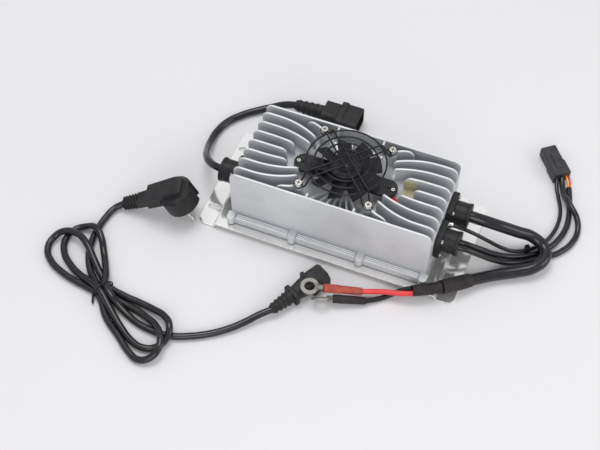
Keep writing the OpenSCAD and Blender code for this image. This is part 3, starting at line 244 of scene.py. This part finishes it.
def make_looks():
    looks = {}

    def add(name, rough, metal=0.0, gloss=0.5):
        looks[name] = Look(name, rough, metal, gloss)
        return looks[name]

    (add("cast_alloy", 0.48, 0.3)
     .colour((0.60, 0.61, 0.625), (0.67, 0.68, 0.695), 0.03, 5)
     # paler sharp edges: partly wear, partly a painted highlight on the lit fin tops
     .wear_and_highlight((0.85, 0.86, 0.87))
     # painted shade in the channels between the fins and in the fan well
     .painted_shade((0.66, 0.68, 0.70), 0.016)
     .sheen_spots(0.42, 0.55, 0.008)
     .relief(0.0007, 0.00012))
    # painted highlight: a paler alloy for the lit tops of the ledge and well ridges
    (add("highlit_alloy", 0.35, 0.3)
     .colour((0.80, 0.81, 0.82), (0.88, 0.89, 0.90), 0.01, 4)
     .sheen_spots(0.3, 0.42, 0.004)
     .relief(0.0007, 0.00006))
    (add("polished_plate", 0.12, 0.75)
     .colour((0.88, 0.87, 0.855), (0.94, 0.93, 0.915), 0.02, 4)
     .sheen_spots(0.09, 0.15, 0.02))
    (add("gasket_rubber", 0.8)
     .colour((0.02, 0.02, 0.02), (0.04, 0.04, 0.04), 0.004)
     .relief(0.0006, 0.0001))
    (add("screw_steel", 0.25, 1.0)
     .colour((0.62, 0.59, 0.53), (0.76, 0.74, 0.69), 0.002)
     # painted shade in the recesses of the screw heads
     .painted_shade((0.18, 0.17, 0.15), 0.0025)
     .sheen_spots(0.16, 0.34, 0.0015)
     .relief(0.0004, 0.00003))
    (add("fan_plastic", 0.4, gloss=0.28)
     .colour((0.012, 0.012, 0.014), (0.022, 0.022, 0.025), 0.01)
     .sheen_spots(0.34, 0.5, 0.006)
     .relief(0.0005, 0.00005))
    (add("winding_copper", 0.35, 1.0)
     .colour((0.50, 0.24, 0.10), (0.72, 0.40, 0.20), 0.0008, 2, (1, 1, 0.1))
     .relief(0.0008, 0.0003, 1, (1, 1, 0.05)))
    (add("bearing_brass", 0.3, 1.0)
     .colour((0.60, 0.48, 0.22), (0.76, 0.66, 0.38), 0.003)
     .relief(0.0005, 0.00003))
    (add("ferrite_black", 0.6, 0.2)
     .colour((0.05, 0.05, 0.055), (0.10, 0.10, 0.11), 0.003)
     .relief(0.0008, 0.0001))
    (add("guard_black", 0.3, gloss=0.28)
     .colour((0.008, 0.008, 0.010), (0.018, 0.018, 0.021), 0.006)
     .sheen_spots(0.22, 0.4, 0.003)
     .relief(0.0008, 0.00004))
    (add("wire_red", 0.38)
     .colour((0.66, 0.030, 0.035), (0.80, 0.055, 0.060), 0.01)
     .sheen_spots(0.3, 0.45, 0.004)
     .relief(0.0009, 0.00004))
    (add("wire_yellow", 0.38)
     .colour((0.72, 0.36, 0.01), (0.86, 0.50, 0.03), 0.01)
     .relief(0.0009, 0.00004))
    (add("seal_tan", 0.55)
     .colour((0.38, 0.34, 0.205), (0.47, 0.425, 0.275), 0.004)
     .sheen_spots(0.42, 0.66, 0.003)
     .relief(0.0025, 0.0003))
    (add("gland_plastic", 0.42, gloss=0.28)
     .colour((0.011, 0.011, 0.012), (0.020, 0.020, 0.022), 0.006)
     .sheen_spots(0.36, 0.52, 0.004)
     .relief(0.0006, 0.00008))
    (add("cable_black", 0.18, gloss=0.52)
     .colour((0.007, 0.0072, 0.009), (0.013, 0.0132, 0.016), 0.02)
     .sheen_spots(0.13, 0.22, 0.008)
     .relief(0.0012, 0.00003, 3))
    (add("sleeve_black", 0.52, gloss=0.28)
     .colour((0.018, 0.014, 0.015), (0.032, 0.025, 0.026), 0.008)
     .sheen_spots(0.44, 0.62, 0.004)
     .relief(0.003, 0.0003, 3))
    (add("sleeve_red", 0.55)
     .colour((0.34, 0.050, 0.030), (0.46, 0.085, 0.055), 0.006)
     .sheen_spots(0.48, 0.64, 0.004)
     .relief(0.003, 0.0003, 3))
    (add("lug_metal", 0.55, 0.6)
     .colour((0.075, 0.073, 0.068), (0.115, 0.11, 0.10), 0.004)
     # paler sharp edges: partly wear, partly a painted highlight
     .wear_and_highlight((0.5, 0.48, 0.43), 0.54, 0.66)
     .sheen_spots(0.5, 0.65, 0.003)
     .relief(0.0008, 0.00006))
    (add("tinned_metal", 0.3, 1.0)
     .colour((0.50, 0.48, 0.44), (0.68, 0.66, 0.62), 0.004)
     .sheen_spots(0.22, 0.42, 0.003)
     .relief(0.0008, 0.00006))
    (add("plug_plastic", 0.45, gloss=0.28)
     .colour((0.014, 0.014, 0.015), (0.024, 0.024, 0.026), 0.008)
     .sheen_spots(0.38, 0.55, 0.005)
     .relief(0.0007, 0.00009))
    (add("connector_grey", 0.5, gloss=0.28)
     .colour((0.032, 0.033, 0.037), (0.050, 0.051, 0.056), 0.008)
     .sheen_spots(0.42, 0.58, 0.004)
     .relief(0.0006, 0.00008))
    (add("board_green", 0.4)
     .colour((0.01, 0.10, 0.04), (0.02, 0.17, 0.07), 0.004)
     .relief(0.001, 0.00005))
    (add("part_black", 0.3)
     .colour((0.015, 0.015, 0.018), (0.03, 0.03, 0.035), 0.006)
     .relief(0.0006, 0.00004))
    (add("relay_case", 0.35)
     .colour((0.10, 0.016, 0.016), (0.16, 0.025, 0.025), 0.006)
     .relief(0.0006, 0.00004))
    return {name: look.mat for name, look in looks.items()}


looks = make_looks()


def finish_piece(obj, look, body=BODY):
    """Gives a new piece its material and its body."""
    obj.data.materials.clear()
    obj.data.materials.append(looks[look])
    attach(obj, body)
    return obj


def body_of(node):
    return ROTOR if node in ROTOR_NODES else BODY


# CAD nodes: each takes its slot's material, and the moulded or cast ones get softened edges

WELD_DISTANCE = 1e-6
FLAT_ANGLE = math.radians(0.5)  # faces that meet flatter than this become one
SHARP_ANGLE = math.radians(38)  # sharper edges are bevelled
PLAIN_ANGLE = math.radians(12)  # sharper edges in a plain zone stay sharp
BEVEL_SEGMENTS = 2
WELL_RADIUS, WELL_TOP = 47 * MM, 64.5 * MM
BOOT_END = -195 * MM
SOFT_NODES = (  # node, bevel width in millimetres
    ("finned_housing", 0.45), ("base_plate", 0.25), ("fan_bracket", 0.5), ("fan_impeller", 0.25),
    ("wire_seal", 0.3), ("input_gland", 0.6), ("output_gland", 0.6), ("signal_gland", 0.6),
    ("inlet_connector", 0.7), ("lead_outlet", 0.4), ("lead_plug", 0.8), ("signal_connector", 0.5),
)


def soften(node, width, plain=None):
    """Copy of a node with its sharp edges bevelled, apart from those whose middle is in a plain zone."""
    mesh = nodes[node].data.copy()
    if "custom_normal" in mesh.attributes:
        mesh.attributes.remove(mesh.attributes["custom_normal"])
    bm = bmesh.new()
    bm.from_mesh(mesh)
    bmesh.ops.remove_doubles(bm, verts=bm.verts, dist=WELD_DISTANCE)
    bmesh.ops.dissolve_limit(bm, angle_limit=FLAT_ANGLE, verts=bm.verts, edges=bm.edges)
    weight = bm.edges.layers.float.new("bevel_weight_edge")
    for edge in bm.edges:
        middle = (edge.verts[0].co + edge.verts[1].co) / 2
        edge.smooth = True
        if plain and plain(middle):
            edge.smooth = edge.calc_face_angle(0) < PLAIN_ANGLE
        elif edge.calc_face_angle(0) > SHARP_ANGLE:
            edge[weight] = 1
    for face in bm.faces:
        face.smooth = True
    bm.to_mesh(mesh)
    bm.free()
    obj = add_object(node + "_form", mesh)
    bevel = obj.modifiers.new("edges", "BEVEL")
    bevel.width = width * MM
    bevel.segments = BEVEL_SEGMENTS
    bevel.limit_method = "WEIGHT"
    bevel.use_clamp_overlap = False
    bevel.harden_normals = True
    finish_piece(obj, slots[node], body_of(node))
    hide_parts(node)
    return obj


def in_well(p):
    return math.hypot(p.x, p.y) < WELL_RADIUS and p.z < WELL_TOP


def on_boot(p):
    return p.x < BOOT_END


for name, obj in nodes.items():
    obj.data.materials.clear()
    obj.data.materials.append(looks["lug_metal" if name.endswith("_lug") else slots[name]])

plain_zones = {"finned_housing": in_well, "lead_plug": on_boot}
forms = {name: soften(name, width, plain_zones.get(name)) for name, width in SOFT_NODES}


# Wires and cords: a line is a list of points in millimetres

CORD_STEPS = 8  # pieces of a cord between two points of its route
CORD_SIDES, WIRE_SIDES = 6, 4  # how finely a cord and a thin wire are rounded


def round_curve(name, d, sides):
    data = bpy.data.curves.new(name, "CURVE")
    data.dimensions = "3D"
    data.bevel_depth = d / 2 * MM
    data.bevel_resolution = sides
    return data


def wire_form(name, lines, d):
    """Thin wire along closed lines, straight from point to point."""
    data = round_curve(name, d, WIRE_SIDES)
    for points in lines:
        spline = data.splines.new("POLY")
        spline.points.add(len(points) - 1)
        spline.use_cyclic_u = True
        spline.use_smooth = True
        for knot, p in zip(spline.points, points):
            knot.co = (*(Vector(p) * MM), 1)
    return add_object(name, data)


def curve(name, lines, d, sides=CORD_SIDES):
    """Round cord along smooth lines, each with its closed flag.

    A point may carry a fourth value, the share of d that the cord has there.
    """
    data = round_curve(name, d, sides)
    data.resolution_u = CORD_STEPS
    data.use_fill_caps = True
    for points, cyclic in lines:
        spline = data.splines.new("BEZIER")
        spline.bezier_points.add(len(points) - 1)
        spline.use_cyclic_u = cyclic
        for knot, p in zip(spline.bezier_points, points):
            knot.co = Vector(p[:3]) * MM
            knot.radius = p[3] if len(p) > 3 else 1
            knot.handle_left_type = knot.handle_right_type = "AUTO"
    return add_object(name, data)


def cord(name, points, d, look, **facts):
    obj = finish_piece(curve(name, [(points, False)], d), look)
    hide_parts(*facts.pop("replaces"))
    return obj


# Routes of the cords, each from where it leaves the housing or its sleeve to its far end
pigtail = [
    (-114, -18, 40), (-129, -18, 40), (-142, -12, 35), (-153, 1, 26), (-160, 17, 15), (-164.5, 35, 6.5),
    (-164.5, 51, 4.3), (-159, 68, 4.1), (-148.5, 82, 4), (-135.5, 94, 4), (-122, 103.5, 5),
    (-109.5, 109, 8.5), (-95, 111, 12)]
output = [
    (114, 18, 40), (131, 18, 40), (154, 22, 34), (173, 28, 25), (190, 33, 17), (202, 28.5, 13),
    (207, 17, 12.5), (200, 3, 11), (186, -6.5, 9), (166, -18, 8), (146, -33, 9.5)]
positive = [(98.5, -71.6, 14), (87, -74.5, 11.5), (75, -76.5, 9.8), (63, -79.5, 8), (50, -84.5, 8)]
negative = [(95.5, -66.4, 14), (87, -69, 9), (78, -74, 4), (69, -82, 2.8), (57, -91, 4.5)]
signal_a = [
    (114, -14.8, 40), (130, -14.5, 39), (146, -9, 30), (160, -1, 18), (174, 8, 8.5), (187, 17.5, 3.5),
    (198, 26, 3), (207, 36, 3), (214, 50, 3), (217.5, 66, 3), (216.5, 84, 3.1), (212, 103, 3.2),
    (208, 116, 4)]
signal_b = [
    (114, -21.2, 40), (130, -20.8, 39.2), (146, -15.2, 29.8), (161, -7.3, 17), (175, 1.6, 7.1),
    (188, 10.2, 3.4), (200, 18.5, 3), (211, 27, 3), (221, 38, 3), (228, 52, 3), (229.5, 67, 4),
    (225, 79, 7.5), (217, 88, 10), (210, 96.5, 9.2), (204.5, 107, 5.5), (201, 116, 5), (197.6, 125, 6.5)]
sensor = [
    (112, 0, 42), (121, 0.5, 41), (136, 3.5, 34), (150, 8, 23), (163, 13, 12), (175, 18, 5),
    (186, 25, 2.5), (195, 33, 2.5), (202, 43, 2.5), (207, 57, 2.5), (208.5, 72, 2.5), (206.5, 87, 2.5),
    (201, 101, 2.5), (196, 112, 3.5), (193.2, 121.6, 6.5)]
# The detachable lead leaves its plug, folds to and fro under the tie and runs on to its outlet
lead = [
    (-213.7, -73.7, 6.7), (-221.5, -81.5, 4.2), (-225.5, -97, 3.5), (-226, -115, 3.5), (-223, -134, 3.5),
    (-216, -150, 3.5), (-204, -164, 3.5), (-188, -174, 3.5),
    (-169, -179, 3.5), (-150, -182, 3.6), (-134, -186.5, 4.5), (-120, -194, 9.5), (-110, -205, 12),
    (-106.8, -216, 11), (-111.3, -226.5, 7), (-122, -231, 4.1), (-134, -226.3, 3.5), (-150.5, -214.8, 3.5),
    (-170.5, -201, 3.5), (-191, -180, 3.5),
    (-205, -176.6, 3.5), (-220, -174.3, 3.5), (-237, -169.7, 3.5), (-252, -162.4, 3.5), (-262, -151, 3.7),
    (-262.4, -137.4, 5), (-253, -128.3, 9.7), (-239, -127.4, 10.5), (-224, -135.6, 10.5), (-210, -148, 7),
    (-197.5, -159, 4), (-184.5, -168, 3.5),
    (-166, -172, 3.5), (-148, -173.5, 3.6), (-132, -175.8, 4.5), (-118, -180.5, 8.5), (-107.5, -190, 11.5),
    (-105.5, -202, 7.5), (-112.5, -213, 3.9), (-124, -217.5, 3.5), (-137, -214.5, 3.5), (-150, -207, 3.9),
    (-169, -193, 6), (-190, -177, 9.8),
    (-202.7, -171.5, 8), (-217.3, -166.5, 4.2), (-233, -158.4, 3.5), (-244.6, -148.3, 3.5),
    (-250.5, -134.7, 3.5), (-248.2, -121.5, 3.7), (-238.2, -113.3, 5), (-225.5, -113.8, 10.5),
    (-215, -122.4, 9.5), (-207.3, -133.8, 5), (-199, -146.5, 5), (-191.8, -158.4, 8.5), (-186, -170.5, 9.9),
    (-176, -179, 9.5), (-166, -184.5, 6), (-154, -190, 3.9), (-138, -195.5, 3.5), (-121, -197.5, 3.5),
    (-104, -196, 3.5), (-87, -189.5, 3.5), (-71, -180.5, 3.5), (-56.5, -169.5, 4), (-44, -157.5, 5.5),
    (-33, -145, 7.5), (-23, -135.5, 9)]

# Heat-shrink sleeves on the cords: points with a thickness share
sleeves = {}
for name, look, d, points in (
    ("output_sleeve", "sleeve_black", 15, [
        (146, -33, 9.5, 0.84), (144.5, -34.4, 9.8, 0.93), (140, -38.5, 10.7, 0.98), (132, -45.8, 12.4, 1),
        (126, -51.3, 13.7, 0.97), (122, -55, 14.5, 0.98)]),
    ("output_end_sleeve", "sleeve_black", 12, [
        (122, -55, 14.5, 1), (116, -58.4, 14.4, 0.97), (110, -61.7, 14.3, 1), (102, -66.2, 14.1, 0.98),
        (97, -69, 14, 0.92)]),
    ("positive_sleeve", "sleeve_red", 9, [
        (50, -84.5, 8, 0.78), (47, -85.9, 9, 0.86), (40, -89.3, 11.3, 0.9), (31, -93.6, 14.3, 0.92),
        (28, -95, 15.2, 1), (20, -98.9, 17.9, 1), (16, -100.8, 19.2, 0.94)]),
    ("negative_sleeve", "sleeve_black", 9, [
        (57, -91, 4.5, 0.8), (54, -92.2, 5, 0.88), (47, -95, 6.2, 0.93), (38, -98.7, 7.7, 0.95),
        (34, -100.3, 8.3, 1), (27, -103.2, 9.5, 0.95)]),
):
    sleeves[name] = finish_piece(curve(name + "_form", [(points, False)], d), look)
    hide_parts(name)

# Thin wires into the signal connector: the yellow one takes the node's place, and the red one lies beside it
SIGNAL_WIRE_D = 1.9
yellow_line = [(207.6, 115.6, 4.2), (205.8, 120, 5.4), (203.4, 124.5, 6.8), (201.4, 128.6, 7)]
red_line = [(208.6, 115.8, 4.6), (207.8, 120.5, 6), (205.6, 125.5, 7.4), (203.8, 129.6, 7.6)]
wires = finish_piece(curve("signal_wire_yellow", [(yellow_line, False)], SIGNAL_WIRE_D),
                     "wire_yellow")
red_wire = finish_piece(curve("signal_wire_red", [(red_line, False)], SIGNAL_WIRE_D), "wire_red")
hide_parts("signal_wires")


def hank_tie():
    """Thin wire round the folded lead, its two ends twisted together at the near side."""
    thickness = 1.5
    at, turn = Vector((-188, -174, 0)), math.radians(-32)
    along = Vector((math.cos(turn), math.sin(turn), 0))
    across = Vector((-math.sin(turn), math.cos(turn), 0))
    loop = [  # offset across the folded lead, height
        (-11.2, 4.5), (-9.6, 9.6), (-4.5, 13.6), (0, 14.2), (4.5, 13.6), (9.6, 9.6), (11.2, 4.5),
        (9.5, 1.6), (4, 1.2), (-4, 1.2), (-9.5, 1.6)]
    lines = [([at + y * across + Vector((0, 0, z)) for y, z in loop], True)]
    for side in (-0.8, 0.8):  # the two ends cross over at each step of the twist
        end = []
        for i in range(6):
            drift, reach, z = 1.2 * i + side * (-1) ** i, 11 + 0.9 * i, 5 - 0.5 * i
            end.append(at + drift * along - reach * across + Vector((0, 0, z)))
        lines.append((end, False))
    return finish_piece(curve("lead_hank_tie_form", lines, thickness, sides=3), slots["lead_hank_tie"])


tie = hank_tie()
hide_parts("lead_hank_tie")

cord("mains_pigtail_cord", pigtail, 8, "cable_black", replaces=["mains_pigtail"], length=0.206,
     far_end="connector", stiffness="medium", lay="loose",
     with_pieces=[forms["inlet_connector"], nodes["inlet_pins"]])
cord("lead_cord", lead, 7, "cable_black",
     replaces=["lead_cord_plug_side", "lead_hank", "lead_cord_outlet_side"], length=1.11,
     far_end="connector", stiffness="medium", lay="coiled",
     with_pieces=[forms["lead_plug"], nodes["lead_pins"], tie, forms["lead_outlet"]])
cord("output_cord", output, 12, "cable_black", replaces=["output_cable"], length=0.19,
     far_end="fitting", stiffness="medium", lay="loose",
     with_pieces=[sleeves["output_sleeve"], sleeves["output_end_sleeve"]])
cord("positive_cord", positive, 5.5, "wire_red", replaces=["positive_lead"], length=0.051,
     far_end="connector", stiffness="medium", lay="loose",
     with_pieces=[sleeves["positive_sleeve"], nodes["positive_lug"]])
cord("negative_cord", negative, 5.5, "cable_black", replaces=["negative_lead"], length=0.049,
     far_end="connector", stiffness="medium", lay="loose",
     with_pieces=[sleeves["negative_sleeve"], nodes["negative_lug"]])
cord("signal_cord_a", signal_a, 6, "cable_black", replaces=["signal_cable_a"], length=0.203,
     far_end="connector", stiffness="medium", lay="loose",
     with_pieces=[wires, red_wire, forms["signal_connector"]])
cord("signal_cord_b", signal_b, 6, "cable_black", replaces=["signal_cable_b"], length=0.236,
     far_end="connector", stiffness="medium", lay="loose", with_pieces=[forms["signal_connector"]])
cord("sensor_cord", sensor, 4, "cable_black", replaces=["sensor_cable"], length=0.198,
     far_end="connector", stiffness="medium", lay="loose",
     with_pieces=[nodes["cable_tie"], forms["signal_connector"]])


# Finger guard: rings under two pairs of spokes whose ends are bent down and looped round the screws

GUARD_WIRE_D = 1.8
RING_COUNT, RING_R, RING_PITCH, RING_Z = 5, 39.3, 8, 89.9
RING_STEPS, LOOP_STEPS = 72, 12
SPOKE_HALF = 4  # half the width of a pair of spokes
SPOKES = ((45, 91.3), (135, 92.3))  # turn in degrees, height
RIM, FOOT = 40.3, 45.2  # distances from the middle at which a spoke bends down and out again
POST, LOOP_Z = 50.6, 79.9  # distance of the screw post and height of the loop on it


def ring_points(r):
    turns = (2 * math.pi * i / RING_STEPS for i in range(RING_STEPS))
    return [(r * math.cos(a), r * math.sin(a), RING_Z) for a in turns]


def spoke_points(turn, z):
    half = SPOKE_HALF
    arm = [(RIM - 1.5, half, z), (RIM, half, z - 0.5), (RIM + 1, half, z - 2),
           (FOOT - 1, half, LOOP_Z + 2), (FOOT, half, LOOP_Z + 0.5), (FOOT + 1.5, half, LOOP_Z)]
    bend = [(POST + half * math.cos(a), half * math.sin(a), LOOP_Z)
            for a in (math.pi * (0.5 - i / LOOP_STEPS) for i in range(LOOP_STEPS + 1))]
    side = arm + bend + [(u, -v, w) for u, v, w in reversed(arm)]
    c, s = math.cos(turn), math.sin(turn)
    return [(c * u - s * v, s * u + c * v, w) for u, v, w in side + [(-u, -v, w) for u, v, w in side]]


guard_lines = [ring_points(RING_R - RING_PITCH * i) for i in range(RING_COUNT)]
guard_lines += [spoke_points(math.radians(turn), z) for turn, z in SPOKES]
guard = finish_piece(wire_form("guard_wire_form", guard_lines, GUARD_WIRE_D), "guard_black")
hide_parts("fan_guard")


# Ridges along the sealing ledge, between its screw bosses, and on the ribs of the fan well, in a paler alloy
# as a painted highlight on their lit tops

LEDGE_ROWS = (49.8, 51.9, 54)  # distances of the ridges from the middle
LEDGE_RUNS = ((-97, -41), (-31, 31), (41, 97))  # from boss to boss
LEDGE_Z, LEDGE_HEIGHT = 15.95, 0.8
WELL_SIDES, WELL_RIBS, WELL_PITCH = (-90, 90), range(-3, 4), 11  # degrees, number, degrees
WELL_PROFILE = (  # radius, foot and top of a rib
    (22, 49.9, 59.5), (30, 49.9, 62), (38, 55.8, 63.6), (45.6, 61.5, 64.3))


def ridges(name, lines, base, top):
    """Ridges along lines of (foot, direction across, height), with a flat top narrower than the base."""
    bm = bmesh.new()
    for line in lines:
        rows = []
        for foot, across, height in line:
            foot, across, up = Vector(foot), Vector(across), Vector((0, 0, height))
            profile = (-base / 2 * across, up - top / 2 * across, up + top / 2 * across, base / 2 * across)
            rows.append([bm.verts.new((foot + p) * MM) for p in profile])
        for a, b in zip(rows, rows[1:]):
            for i in range(4):
                bm.faces.new((a[i], a[(i + 1) % 4], b[(i + 1) % 4], b[i]))
        bm.faces.new(rows[0])
        bm.faces.new(rows[-1])
    bmesh.ops.recalc_face_normals(bm, faces=bm.faces)
    mesh = bpy.data.meshes.new(name)
    bm.to_mesh(mesh)
    bm.free()
    # painted highlight: the ridges take the paler alloy of lit tops
    return finish_piece(add_object(name, mesh), "highlit_alloy")


def ledge_lines():
    for side in (-1, 1):
        for y in LEDGE_ROWS:
            for run in LEDGE_RUNS:
                yield [((x, side * y, LEDGE_Z), (0, 1, 0), LEDGE_HEIGHT) for x in run]


def well_lines():
    for side in WELL_SIDES:
        for i in WELL_RIBS:
            a = math.radians(side + WELL_PITCH * i)
            out, across = Vector((math.cos(a), math.sin(a), 0)), Vector((-math.sin(a), math.cos(a), 0))
            yield [(r * out + Vector((0, 0, z)), across, top - z) for r, z, top in WELL_PROFILE]


ridges("ledge_ridges", ledge_lines(), base=1.1, top=0.7)
ridges("well_ridges", well_lines(), base=2.2, top=1.7)
